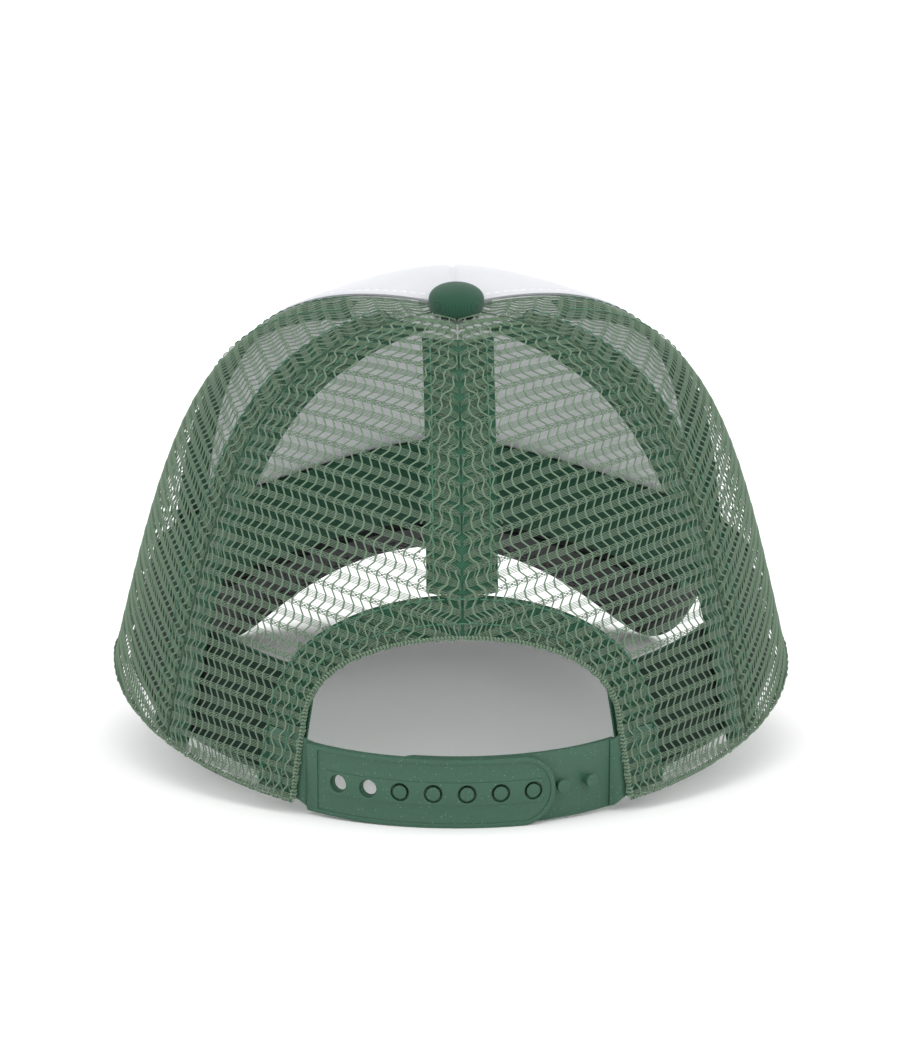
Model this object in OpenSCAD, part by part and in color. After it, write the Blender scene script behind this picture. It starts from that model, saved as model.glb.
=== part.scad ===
// Trucker mesh cap: foam-backed front, four mesh panels, curved visor, two-piece plastic snap strap.
// Working axes: +Y to the front, +X to the wearer's right, +Z up from the plane of the hem.
// The finished cap is then leaned back until the strap and both visor tips touch the floor.

/* [Crown] */
// Widest part of the crown, over the side panels
crown_width = 185.6; // [155:0.2:225]
// From the widest line forward to the front of the hem
crown_front = 82; // [69:0.5:99]
// From the widest line back to the rear of the hem
crown_rear = 106; // [89:0.5:128]
// Height of the button seat over the hem plane
crown_height = 107; // [90:0.5:129]
// How far the button sits behind the widest line
button_back = 23; // [10:0.5:30]
// How much the hem rises over the visor
hem_arch = 8; // [0:0.5:14]
// Thickness of the mesh cloth
mesh_thick = 1.2; // [0.8:0.1:2]
// Thickness of the woven front cloth
front_cloth = 0.8; // [0.5:0.1:1.2]
// Thickness of the foam behind the front cloth
foam_thick = 2.4; // [1.5:0.1:4]

/* [Seams] */
// Azimuth of the front seam at the hem, from straight ahead
front_seam_hem = 57; // [50:1:64]
// Azimuth of the front seam near the button
front_seam_top = 70; // [60:1:78]
// Azimuth of the side seam at the hem
side_seam_hem = 127; // [118:1:134]
// Azimuth of the side seam near the button
side_seam_top = 123; // [116:1:132]
// Width of the woven seam tape
tape_width = 14.5; // [8:0.5:18]
// Thickness of the tapes and bindings
tape_thick = 0.8; // [0.5:0.1:1.2]

/* [Sweatband] */
// Height of the sweatband
band_height = 28; // [22:0.5:36]
// Height of its lower edge over the hem
band_lift = 3.5; // [2:0.5:6]
// Thickness of the twill face
band_face = 1; // [0.6:0.1:1.5]
// Thickness of the lining strip behind the face
band_lining = 0.8; // [0.5:0.1:1.5]

/* [Rear opening] */
// Half the width of the rear opening at the hem
opening_half = 42.5; // [36:0.5:51]
// Height of its straight sides
opening_side = 22; // [18:0.5:27]
// Height of its arch over the hem plane
opening_height = 43.5; // [36:0.5:53]
// Width of the binding round it
binding_width = 9.5; // [8:0.5:12]

/* [Snap strap] */
// Width of both straps
strap_width = 17.5; // [14.5:0.5:21]
// Outer radius of the curved closure
strap_radius = 58; // [48:0.5:70]
// How far the strap stands behind the hem
strap_proud = 1; // [0:0.1:2]
// Forward lean of the straps
strap_lean = 8; // [4:1:12]
// Thickness of the strap with holes
snap_thick = 1.5; // [1.2:0.1:2]
// Thickness of the strap with pegs
peg_strap_thick = 1.3; // [1:0.1:1.8]
// Distance between pegs, and between holes
snap_pitch = 8.3; // [7:0.1:10]
// Number of holes, and of pegs
snap_count = 7; // [6:1:7]
// Radius of the counterbore in each hole
hole_radius = 2.35; // [2:0.05:2.8]
// Radius of each peg's head
peg_head = 1.7; // [1.4:0.05:1.9]
// Radial clearance of a peg's head in its hole
snap_clearance = 0.2; // [0.15:0.05:0.4]
// Height of the raised beads along the straps
bead_height = 0.35; // [0.2:0.05:0.6]

/* [Visor] */
// Reach of the visor in front of the hem
visor_reach = 65; // [54:0.5:78]
// Half the width of the visor
visor_half = 78; // [65:0.5:88]
// Drop of the middle of the visor's edge
visor_drop = 27; // [22:0.5:33]
// Extra drop of the visor's sides
visor_sag = 31; // [25:0.5:38]
// Thickness of the stiff board
board_thick = 2; // [1.6:0.1:2.6]
// Thickness of each cloth cover
cover_thick = 0.8; // [0.5:0.1:1.2]

/* [Button] */
// Radius of the covered button
button_radius = 7.2; // [6:0.1:8.6]
// Height of the button's dome
button_dome = 4.6; // [3.8:0.1:5.5]
// Radius of the post through the crown
post_radius = 1.3; // [1:0.1:1.6]

/* [Hidden] */
$fn = 48;

layer_gap = 0.4;            // between cloth layers that lie on each other
seam_gap = 0.4;             // between panels along a seam
half_w = crown_width / 2;
rear_power = 1.9;           // roundness of the hem behind and in front of the widest line
front_power = 1.82;
hem_arch_power = 5.3;
button_hole = 4.6;          // the panels stop this far from the button's axis

// Shape of each meridian: inward and upward pull at the hem, outward and upward pull at the top
front_shape = [0.28, 0.26, 0.91, 1.12];
side_shape = [0.21, 0.745, 0.71, 1];
rear_shape = [0.2, 0.55, 0.42, 1];

green = [0.14, 0.3, 0.22];
mesh_green = [0.35, 0.45, 0.36];
cloth_white = [0.93, 0.93, 0.93];
under_black = [0.07, 0.07, 0.07];
metal = [0.75, 0.75, 0.76];

// ---- the crown's surface ----

function mix(a, b, s) = a + (b - a) * s;

function solve(f, v, lo, hi, n = 16) =
    let (m = (lo + hi) / 2)
    n == 0 ? m : f(m) < v ? solve(f, v, m, hi, n - 1) : solve(f, v, lo, m, n - 1);

function hem_radius(p) =
    let (front = cos(p) > 0, n = front ? front_power : rear_power, b = front ? crown_front : crown_rear)
    pow(pow(abs(sin(p)) / half_w, n) + pow(abs(cos(p)) / b, n), -1 / n);

function hem(p) =
    let (r = hem_radius(p))
    [r * sin(p), r * cos(p), hem_arch * pow(max(cos(p), 0), hem_arch_power)];

function meridian(p) =
    front_shape * pow(max(cos(p), 0), 2) + rear_shape * pow(max(-cos(p), 0), 2)
    + side_shape * pow(sin(p), 2);

// Point of the outer surface at azimuth p, from the hem (t = 0) to the button (t = 1)
function crown(p, t) =
    let (q = hem(p), m = meridian(p), u = 1 - t,
        r = u * u * u + 3 * u * u * t * (1 - m[0]) + 3 * u * t * t * m[2],
        h = 3 * u * u * t * m[1] + 3 * u * t * t * m[3] + t * t * t)
    [r * q.x, -button_back + r * (q.y + button_back), q.z + (crown_height - q.z) * h];

function crown_normal(p, t) =
    let (across = crown(p + 0.5, t) - crown(p - 0.5, t),
        up = crown(p, min(t + 0.01, 0.995)) - crown(p, max(t - 0.01, 0)),
        n = cross(up, across))
    n / norm(n);

function layer(p, t, d) = crown(p, t) + d * crown_normal(p, t);

function reach(p, t) = let (c = crown(p, t)) norm([c.x, c.y + button_back]);
function t_at_height(p, z) = solve(function(t) crown(p, t).z, z, 0, 0.8);
function t_at_reach(p, d) = solve(function(t) -reach(p, t), -d, 0.3, 0.999);
function degrees_at(p, t, width) = width / reach(p, t) * 180 / PI;

function bend(t) = sin(90 * min(t / 0.7, 1));
function front_seam(t) = mix(front_seam_hem, front_seam_top, bend(t));
function side_seam(t) = mix(side_seam_hem, side_seam_top, bend(t));

// ---- closed shells from an outer and an inner grid of points ----

module shell(outer, inner) {
    cols = len(outer) - 1;
    rows = len(outer[0]) - 1;
    inner_start = (cols + 1) * (rows + 1);
    function o(j, i) = j * (rows + 1) + i;
    function n(j, i) = inner_start + o(j, i);
    function quad(a, b, c, d) = [[a, b, c], [a, c, d]];
    faces = [
        for (j = [0:cols - 1], i = [0:rows - 1], f = quad(o(j, i), o(j, i + 1), o(j + 1, i + 1), o(j + 1, i))) f,
        for (j = [0:cols - 1], i = [0:rows - 1], f = quad(n(j, i), n(j + 1, i), n(j + 1, i + 1), n(j, i + 1))) f,
        for (j = [0:cols - 1], f = quad(o(j, 0), o(j + 1, 0), n(j + 1, 0), n(j, 0))) f,
        for (j = [0:cols - 1], f = quad(o(j, rows), n(j, rows), n(j + 1, rows), o(j + 1, rows))) f,
        for (i = [0:rows - 1], f = quad(o(0, i), n(0, i), n(0, i + 1), o(0, i + 1))) f,
        for (i = [0:rows - 1], f = quad(o(cols, i), o(cols, i + 1), n(cols, i + 1), n(cols, i))) f
    ];
    polyhedron(points = [for (c = outer) each c, for (c = inner) each c], faces = faces);
}

// A cloth layer of columns s from 0 to 1: span(s) gives each column's ends and azimuth(s, t) its course
module cloth(cols, rows, span, azimuth, d_out, thick) {
    spots = [for (j = [0:cols]) let (s = j / cols, ends = span(s))
        [for (i = [0:rows]) let (t = mix(ends[0], ends[1], i / rows), p = azimuth(s, t))
            [crown(p, t), crown_normal(p, t)]]];
    shell([for (c = spots) [for (q = c) q[0] + (d_out - thick) * q[1]]],
        [for (c = spots) [for (q = c) q[0] + d_out * q[1]]]);
}

module mirrored(left) {
    if (left) mirror([1, 0, 0]) children();
    else children();
}

// ---- resting attitude ----

strap_rear = crown_rear + strap_proud;

// The visor's edge: a plan outline of half width visor_half that droops towards its sides
visor_end = 86;
visor_root_in = 2.5;        // the visor is sewn in this far under the crown
visor_root_drop = 0.5;
visor_side_y = 47;
visor_outline_power = 0.62;

function visor_edge(a) =
    [visor_half * sin(a),
        visor_side_y + (crown_front + visor_reach - visor_side_y) * pow(cos(a), visor_outline_power),
        -visor_drop - visor_sag * pow(sin(a), 2) + (visor_drop + visor_sag) * pow(abs(sin(a)), 15)];

function visor_root(a) =
    let (p = a * front_seam_hem / 90, q = hem(p), r = norm([q.x, q.y]))
    [q.x * (1 - visor_root_in / r), q.y * (1 - visor_root_in / r), q.z - visor_root_drop];

function visor(a, w) = mix(visor_root(a), visor_edge(a), w);

function visor_normal(a, w) =
    let (across = visor(a + 0.5, w) - visor(a - 0.5, w), out = visor_edge(a) - visor_root(a),
        n = cross(across, out))
    n / norm(n);

function visor_outward(a) =
    let (e = cross(visor_normal(a, 1), visor_edge(a + 0.5) - visor_edge(a - 0.5)))
    e / norm(e);

visor_thick = 2 * cover_thick + board_thick + 0.6;
visor_steps = 26;
function visor_angle(j) = mix(-visor_end, visor_end, j / visor_steps);
function visor_foot(a) = visor_edge(a) + visor_outward(a) - visor_thick * visor_normal(a, 1);

rest_tilt = max([for (j = [0:visor_steps]) let (q = visor_foot(visor_angle(j)))
    atan2(-q.z, q.y + strap_rear)]);

function rested_y(q) = (q.y + strap_rear) * cos(rest_tilt) - q.z * sin(rest_tilt);
strap_top = [0, -strap_rear + strap_width * sin(strap_lean), strap_width * cos(strap_lean)];
rear_end = min(rested_y(strap_top), min([for (i = [0:12]) rested_y(crown(180, i / 20))]));
front_end = rested_y(visor_edge(0) + visor_outward(0));

module at_rest() {
    translate([0, -(rear_end + front_end) / 2, 0])
        rotate([rest_tilt, 0, 0])
            translate([0, strap_rear, 0]) children();
}

// ---- front ----

function front_azimuth(s, t, margin) = (2 * s - 1) * (front_seam(t) - degrees_at(60, t, margin));

module front_panel() {
    color(cloth_white) at_rest()
        cloth(26, 14,
            function(s) [0, t_at_reach(front_azimuth(s, 0.9, 0), button_hole)],
            function(s, t) front_azimuth(s, t, seam_gap / 2),
            0, front_cloth);
}

module front_foam() {
    margin = 1;
    foot = 2.5;
    stop = 12;
    color("gainsboro") at_rest()
        cloth(26, 14,
            function(s) let (p = front_azimuth(s, 0, margin))
                [t_at_height(p, hem(p).z + foot), t_at_reach(front_azimuth(s, 0.9, margin), stop)],
            function(s, t) front_azimuth(s, t, margin),
            -front_cloth - layer_gap, foam_thick);
}

// ---- mesh panels ----

module side_mesh(left) {
    color(mesh_green) at_rest() mirrored(left)
        cloth(14, 16,
            function(s) [0, t_at_reach(mix(front_seam(1), side_seam(1), s), button_hole)],
            function(s, t) let (g = degrees_at(90, t, seam_gap / 2))
                mix(front_seam(t) + g, side_seam(t) - g, s),
            0, mesh_thick);
}

// The rear opening: q runs from the hem (0) up one side and over to the middle of the arch (1)
opening_azimuth = solve(function(p) -hem(p).x, -opening_half, 100, 180);
opening_span = 180 - opening_azimuth;
side_share = 0.3;
arch_roundness = 1;

function opening_height_at(p) =
    let (d = min((180 - p) / opening_span, 1))
    opening_side + (opening_height - opening_side)
        * pow(max(1 - pow(d, 2 / arch_roundness), 0), arch_roundness / 2);

function opening_outline(q, grow) =
    let (more = grow / 80 * 180 / PI)
    q < side_share
        ? [opening_azimuth - more, opening_side * q / side_share]
        : let (a = 90 * (q - side_share) / (1 - side_share))
          [180 - (opening_span + more) * pow(cos(a), arch_roundness),
              opening_side + (opening_height - opening_side + grow) * pow(sin(a), arch_roundness)];

module back_mesh(left) {
    plain_cols = 9;
    cut_cols = 12;
    edge_step = 0.5;
    cols = plain_cols + cut_cols + 1;
    function azimuth(s, t) =
        let (k = round(s * cols))
        k > plain_cols
            ? mix(opening_azimuth + edge_step, 180 - degrees_at(180, t, seam_gap / 2),
                sin(90 * (k - plain_cols - 1) / cut_cols))
            : mix(side_seam(t) + degrees_at(125, t, seam_gap / 2), opening_azimuth, k / plain_cols);
    color(mesh_green) at_rest() mirrored(left)
        cloth(cols, 16,
            function(s) let (p = azimuth(s, 0.2), low = opening_height_at(p))
                [round(s * cols) > plain_cols ? t_at_height(p, low) : 0,
                    t_at_reach(azimuth(s, 0.95), button_hole)],
            function(s, t) azimuth(s, t), 0, mesh_thick);
}

// ---- tapes and binding behind the mesh ----

tape_layer = -mesh_thick - layer_gap;
binding_layer = tape_layer - 0.2;
tape_foot = 1;

module tape(centre, foot_height, stop) {
    ends = [t_at_height(centre(0), foot_height), t_at_reach(centre(0.9), stop)];
    cloth(2, 18,
        function(s) ends,
        function(s, t) let (p = centre(t)) p + degrees_at(p, t, tape_width) * (s - 0.5),
        tape_layer, tape_thick);
}

module front_tape(left) {
    shift = tape_width / 2 + 1;
    color(green) at_rest() mirrored(left)
        tape(function(t) front_seam(t) + degrees_at(70, t, shift), tape_foot, 28);
}

module side_tape(left) {
    color(green) at_rest() mirrored(left)
        tape(function(t) side_seam(t), tape_foot, 15);
}

module back_tape() {
    color(green) at_rest()
        tape(function(t) 180, opening_height + binding_width + 1, 15);
}

module opening_binding() {
    foot = 0.02;
    turn_in = 0.3;
    steps = 44;
    rows = 3;
    spots = [for (j = [0:steps]) let (s = j / steps, q = 1 - abs(2 * s - 1) * (1 - foot))
        [for (i = [0:rows]) let (o = opening_outline(q, turn_in + binding_width * i / rows),
                p = s < 0.5 ? o[0] : 360 - o[0], t = t_at_height(p, o[1]))
            [crown(p, t), crown_normal(p, t)]]];
    color(green) at_rest()
        shell([for (c = spots) [for (q = c) q[0] + (binding_layer - tape_thick) * q[1]]],
            [for (c = spots) [for (q = c) q[0] + binding_layer * q[1]]]);
}

// ---- sweatband ----

lining_layer = -front_cloth - foam_thick - 2 * layer_gap;
face_layer = lining_layer - band_lining - 0.3;
band_gap = 1.5;             // from the rear opening's edge to the end of the sweatband

module band(d, thick) {
    limit = opening_azimuth - degrees_at(160, 0, band_gap);
    cloth(64, 4,
        function(s) let (p = mix(-limit, limit, s), low = hem(p).z + band_lift)
            [t_at_height(p, low), t_at_height(p, low + band_height)],
        function(s, t) mix(-limit, limit, s),
        d, thick);
}

module sweatband_face() {
    color(green) at_rest() band(face_layer, band_face);
}

module sweatband_lining() {
    color("dimgray") at_rest() band(lining_layer, band_lining);
}

// ---- visor ----

visor_rows = 6;

module visor_layer(depth, thick) {
    inside_lip = 0.98;
    spots = [for (j = [0:visor_steps]) [for (i = [0:visor_rows])
        [visor_angle(j), inside_lip * i / visor_rows]]];
    shell([for (c = spots) [for (s = c) visor(s[0], s[1]) - depth * visor_normal(s[0], s[1])]],
        [for (c = spots) [for (s = c) visor(s[0], s[1]) - (depth + thick) * visor_normal(s[0], s[1])]]);
}

module visor_board() {
    color("whitesmoke") at_rest() visor_layer(cover_thick + 0.3, board_thick);
}

module visor_under_cover() {
    color(under_black) at_rest() visor_layer(cover_thick + board_thick + 0.6, cover_thick);
}

// The top cover turns down over the visor's edge
module visor_top_cover() {
    lip = 0.8;
    slack = 0.2;
    outer = [for (j = [0:visor_steps]) let (a = visor_angle(j), n = visor_normal(a, 1), e = visor_outward(a),
        edge = visor_edge(a)) [
            for (i = [0:visor_rows - 1]) visor(a, i / visor_rows),
            edge + (slack + lip) * e,
            edge + (slack + lip) * e - visor_thick * n]];
    inner = [for (j = [0:visor_steps]) let (a = visor_angle(j), n = visor_normal(a, 1), e = visor_outward(a),
        edge = visor_edge(a)) [
            for (i = [0:visor_rows - 1]) visor(a, i / visor_rows) - cover_thick * visor_normal(a, i / visor_rows),
            edge + slack * e - cover_thick * n,
            edge + slack * e - visor_thick * n]];
    color(green) at_rest() shell(outer, inner);
}

// ---- button ----

button_seat = 1.2;

module at_button() {
    at_rest() translate([0, -button_back, crown_height]) children();
}

module dome_shell(r, h, thick) {
    steps = 10;
    rotate_extrude()
        polygon([
            for (i = [0:steps]) let (a = 90 * i / steps) [r * sin(a), h * cos(a)],
            for (i = [steps:-1:0]) let (a = 90 * i / steps) [(r - thick) * sin(a), (h - thick) * cos(a)]
        ]);
}

cover_wall = 0.6;
shell_wall = 0.5;
shell_gap = 0.15;

module button_cover() {
    color(green) at_button() translate([0, 0, button_seat])
        dome_shell(button_radius, button_dome, cover_wall);
}

module button_shell() {
    color(metal) at_button() translate([0, 0, button_seat])
        dome_shell(button_radius - cover_wall - shell_gap, button_dome - cover_wall - shell_gap, shell_wall);
}

washer_top = -2.2;
washer_thick = 0.8;

module button_post() {
    flange = 2.6;
    head = button_dome - cover_wall - shell_wall - 2 * shell_gap;
    shank_low = washer_top - washer_thick - 0.8;
    color(metal) at_button() {
        translate([0, 0, shank_low]) cylinder(r = post_radius, h = button_seat + head - 0.6 - shank_low);
        translate([0, 0, shank_low - 0.6]) cylinder(r = flange, h = 0.7);
    }
}

module button_washer() {
    color(metal) at_button() translate([0, 0, washer_top - washer_thick])
        difference() {
            cylinder(r = 6, h = washer_thick);
            translate([0, 0, -1]) cylinder(r = post_radius + 0.1, h = washer_thick + 2);
        }
}

// ---- snap closure ----

strap_gap = 0.3;            // between the two straps
bead_width = 1.1;
root_x = opening_half - 4.7; // where each strap flexes, from the middle
knuckle = 0.9;              // radius of the rounded root
knuckle_inset = 0.3;
degrees_per_mm = 180 / PI / strap_radius;
peg_outer = strap_radius - snap_thick - strap_gap;
last_hole = 17.4;           // arc from the middle to the last hole
spare_pegs = 2;             // pegs left free beyond the last hole
snap_end = last_hole + 5.8;
peg_end = last_hole - (snap_count - 1 - spare_pegs) * snap_pitch - 5;

// Straps are built round an axis that leans forward, with their lower rear edge on the floor
module at_strap() {
    at_rest() translate([0, -strap_rear, 0])
        rotate([-strap_lean, 0, 0]) translate([0, strap_radius + bead_height, 0]) children();
}

module arc_band(from, to, r_in, r_out, low, high) {
    rotate([0, 0, from - 90]) rotate_extrude(angle = to - from)
        translate([r_in, low]) square([r_out - r_in, high - low]);
}

module radial(angle, from, height, r) {
    rotate([0, 0, angle]) translate([0, -from, strap_width / 2]) rotate([90, 0, 0]) cylinder(r = r, h = height);
}

// Strap outline shrunk by inset: a curved band from the root angle, cut to a round end centred at tip
module strap_body(root, tip, r_in, r_out, inset) {
    half = strap_width / 2 - inset;
    way = sign(tip - root);
    end = tip + way * half * degrees_per_mm * 1.02;
    round_end = half + 0.03;
    intersection() {
        arc_band(min(root, end), max(root, end), r_in, r_out, inset, strap_width - inset);
        union() {
            radial(tip, r_in - 6, r_out - r_in + 10, round_end);
            rotate([0, 0, tip]) translate([way > 0 ? -2 * strap_radius : 0, -2 * strap_radius, -1])
                cube([2 * strap_radius, 2 * strap_radius, strap_width + 2]);
        }
    }
}

snap_mid = strap_radius - snap_thick / 2;
peg_mid = peg_outer - peg_strap_thick / 2;
snap_root = -asin(root_x / snap_mid);
peg_root = asin(root_x / peg_mid);

module snap_strap() {
    strip_half = 2.9;
    strip_height = 0.25;
    lip = 0.6;
    inner = strap_radius - snap_thick;
    tip = (snap_end - strap_width / 2) * degrees_per_mm;
    recess_root = snap_root + 3 * bead_width * degrees_per_mm;
    first_hole = last_hole - (snap_count - 1) * snap_pitch;
    color(green) at_strap()
        difference() {
            union() {
                difference() {
                    strap_body(snap_root, tip, inner, strap_radius + bead_height, 0);
                    strap_body(recess_root, tip, strap_radius, strap_radius + bead_height + 1, bead_width);
                }
                arc_band((first_hole - 3.5) * degrees_per_mm, (last_hole + 2.5) * degrees_per_mm,
                    strap_radius - 0.1, strap_radius + strip_height,
                    strap_width / 2 - strip_half, strap_width / 2 + strip_half);
                rotate([0, 0, snap_root]) translate([0, -snap_mid, knuckle_inset])
                    cylinder(r = knuckle, h = strap_width - 2 * knuckle_inset);
            }
            for (i = [0:snap_count - 1]) {
                a = (last_hole - i * snap_pitch) * degrees_per_mm;
                radial(a, inner - 2, snap_thick + 5, peg_head + snap_clearance);
                radial(a, inner + lip, snap_thick + 3, hole_radius);
            }
        }
}

module peg_strap() {
    neck = 1.3;
    neck_height = 1.2;
    head_height = 0.9;
    inner = peg_outer - peg_strap_thick;
    tip = (peg_end + strap_width / 2) * degrees_per_mm;
    color(green) at_strap() {
        strap_body(peg_root, tip, inner, peg_outer, 0);
        rotate([0, 0, peg_root]) translate([0, -peg_mid, knuckle_inset])
            cylinder(r = knuckle, h = strap_width - 2 * knuckle_inset);
        for (i = [0:snap_count - 1]) {
            a = (last_hole + (spare_pegs - i) * snap_pitch) * degrees_per_mm;
            radial(a, peg_outer - 0.3, neck_height + 0.3, neck);
            radial(a, peg_outer + neck_height - 0.01, head_height, peg_head);
        }
    }
}

// The sewn-in end of each strap, held between the binding and the sweatband
module strap_tab(left) {
    tab_length = 9;
    low = 1;
    tab_thick = 0.9;
    depth = binding_layer - tape_thick - 0.2;
    near_x = root_x + knuckle + 2;
    function azimuth(s, t) = solve(function(p) -crown(p, t).x, -near_x - (1 - s) * tab_length, 100, 180);
    color(green) at_rest() mirrored(left)
        cloth(4, 3,
            function(s) [t_at_height(opening_azimuth, low), t_at_height(opening_azimuth, strap_width - 0.5)],
            function(s, t) azimuth(s, t), depth, tab_thick);
}

module left_side_mesh() { side_mesh(true); }
module right_side_mesh() { side_mesh(false); }
module left_back_mesh() { back_mesh(true); }
module right_back_mesh() { back_mesh(false); }
module left_front_tape() { front_tape(true); }
module right_front_tape() { front_tape(false); }
module left_side_tape() { side_tape(true); }
module right_side_tape() { side_tape(false); }
module snap_strap_tab() { strap_tab(true); }
module peg_strap_tab() { strap_tab(false); }

front_panel();
front_foam();
left_side_mesh();
right_side_mesh();
left_back_mesh();
right_back_mesh();
left_front_tape();
right_front_tape();
left_side_tape();
right_side_tape();
back_tape();
opening_binding();
sweatband_face();
sweatband_lining();
visor_board();
visor_top_cover();
visor_under_cover();
button_cover();
button_shell();
button_post();
button_washer();
snap_strap();
peg_strap();
snap_strap_tab();
peg_strap_tab();
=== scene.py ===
"""Trucker cap: knitted mesh panels, foam-backed front, twill sweatband, curved visor and snap strap."""
import math

import bpy
import numpy as np
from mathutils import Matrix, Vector


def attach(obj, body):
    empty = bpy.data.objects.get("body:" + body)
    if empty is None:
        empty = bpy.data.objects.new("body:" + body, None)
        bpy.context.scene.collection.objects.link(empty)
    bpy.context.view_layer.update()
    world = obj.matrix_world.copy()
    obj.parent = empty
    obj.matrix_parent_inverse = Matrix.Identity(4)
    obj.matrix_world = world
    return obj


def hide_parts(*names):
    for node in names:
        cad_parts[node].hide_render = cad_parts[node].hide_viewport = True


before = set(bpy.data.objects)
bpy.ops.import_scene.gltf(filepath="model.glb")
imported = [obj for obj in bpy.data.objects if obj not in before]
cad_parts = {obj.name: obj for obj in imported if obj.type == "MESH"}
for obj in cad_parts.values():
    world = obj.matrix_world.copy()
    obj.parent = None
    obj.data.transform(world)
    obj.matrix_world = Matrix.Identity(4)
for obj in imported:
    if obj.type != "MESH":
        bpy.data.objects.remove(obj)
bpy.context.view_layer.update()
MM = 0.001

# ---------------------------------------------------------------- camera

camera_data = bpy.data.cameras.new("camera")
camera = bpy.data.objects.new("camera", camera_data)
bpy.context.scene.collection.objects.link(camera)
camera_place = Vector((-25.9, -886.5, 210.6)) * MM
camera_target = Vector((-0.2, -19.8, 56.6)) * MM
camera.location = camera_place
camera.rotation_euler = (camera_target - camera_place).to_track_quat("-Z", "Y").to_euler()
camera_data.lens = 109.8
camera_data.sensor_width = 36
camera_data.clip_start = 0.05
camera_data.clip_end = 20
bpy.context.scene.camera = camera

# ---------------------------------------------------------------- the crown's surface, in mm

HALF_W, FRONT, REAR = 92.8, 82.0, 106.0      # the hem's reach sideways, forward and to the rear
HEIGHT, BACK, ARCH = 107.0, 23.0, 8.0        # the button's height and setback, the rise of the front hem
FRONT_POWER, REAR_POWER, ARCH_POWER = 1.82, 1.9, 5.3
TILT = math.radians(12.3068)                 # the lean onto the strap and the visor's tips
STRAP_REAR = 107.0                           # the strap's rear face, about which the cap leans
SHIFT = -126.785                             # from there to the frame's origin
CLOTH_STOP = 4.7                             # how near the button's middle the cloth goes
# how the profile curves from hem to button, in front, at the side and behind
FRONT_SHAPE = np.array([0.28, 0.26, 0.91, 1.12])
SIDE_SHAPE = np.array([0.21, 0.745, 0.71, 1.0])
REAR_SHAPE = np.array([0.2, 0.55, 0.42, 1.0])


def at_rest(q):
    """Points of the cap's own axes, leaned back onto the floor, in metres."""
    y, z = q[..., 1] + STRAP_REAR, q[..., 2]
    out = np.empty_like(q)
    out[..., 0] = q[..., 0]
    out[..., 1] = y * math.cos(TILT) - z * math.sin(TILT) + SHIFT
    out[..., 2] = y * math.sin(TILT) + z * math.cos(TILT)
    return out * MM


def turned(n):
    """A direction leaned back with the cap."""
    y, z = n[..., 1], n[..., 2]
    return np.stack([n[..., 0], y * math.cos(TILT) - z * math.sin(TILT),
                     y * math.sin(TILT) + z * math.cos(TILT)], -1)


def hem(p):
    """The crown's lower edge at azimuth p, which is 0 in front and 180 behind."""
    s, c = np.sin(np.radians(p)), np.cos(np.radians(p))
    power = np.where(c > 0, FRONT_POWER, REAR_POWER)
    deep = np.where(c > 0, FRONT, REAR)
    r = ((np.abs(s) / HALF_W) ** power + (np.abs(c) / deep) ** power) ** (-1 / power)
    return np.stack([r * s, r * c, ARCH * np.maximum(c, 0) ** ARCH_POWER], -1)


def crown(p, t):
    """A point of the crown at azimuth p, t from 0 at the hem to 1 at the button."""
    p, t = np.broadcast_arrays(np.asarray(p, float), np.asarray(t, float))
    q = hem(p)
    s, c = np.sin(np.radians(p)), np.cos(np.radians(p))
    m = (FRONT_SHAPE * (np.maximum(c, 0) ** 2)[..., None] + REAR_SHAPE * (np.maximum(-c, 0) ** 2)[..., None]
         + SIDE_SHAPE * (s ** 2)[..., None])
    u = 1 - t
    r = u ** 3 + 3 * u * u * t * (1 - m[..., 0]) + 3 * u * t * t * m[..., 2]
    h = 3 * u * u * t * m[..., 1] + 3 * u * t * t * m[..., 3] + t ** 3
    z = q[..., 2] + (HEIGHT - q[..., 2]) * h
    return np.stack([r * q[..., 0], -BACK + r * (q[..., 1] + BACK), z], -1)


def crown_normal(p, t):
    """The way that the crown's outer side looks, before it is leaned back."""
    p, t = np.broadcast_arrays(np.asarray(p, float), np.asarray(t, float))
    across = crown(p + 0.5, t) - crown(p - 0.5, t)
    up = crown(p, np.minimum(t + 0.01, 0.995)) - crown(p, np.maximum(t - 0.01, 0))
    n = np.cross(up, across)
    return n / np.linalg.norm(n, axis=-1, keepdims=True)


def layer(p, t, d):
    """A point of the crown, d mm outside its surface, in metres and at rest."""
    return at_rest(crown(p, t) + np.asarray(d, float)[..., None] * crown_normal(p, t))


def reach(p, t):
    """Distance from the crown's upright axis."""
    c = crown(p, t)
    return np.hypot(c[..., 0], c[..., 1] + BACK)


def search(f, low, high, steps=24):
    """Where f, rising from low to high, crosses zero."""
    low, high = np.broadcast_arrays(np.asarray(low, float), np.asarray(high, float))
    low, high = low.copy(), high.copy()
    for _ in range(steps):
        mid = (low + high) / 2
        under = f(mid) < 0
        low, high = np.where(under, mid, low), np.where(under, high, mid)
    return (low + high) / 2


def t_at_height(p, z):
    """The height share t at which the crown is z mm high."""
    p, z = np.broadcast_arrays(np.asarray(p, float), np.asarray(z, float))
    return search(lambda t: crown(p, t)[..., 2] - z, np.zeros(p.shape), 0.8)


def t_at_reach(p, d):
    """The height share t at which the crown is d mm from its axis."""
    p = np.asarray(p, float)
    return search(lambda t: d - reach(p, t), np.full(p.shape, 0.3), 0.999)


def degrees_at(p, t, width):
    """A width in mm, as degrees of azimuth."""
    return width / reach(p, t) * 180 / math.pi


def width_at(p, t, degrees):
    """Degrees of azimuth, as a width in mm."""
    return degrees * reach(p, t) * math.pi / 180


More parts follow.
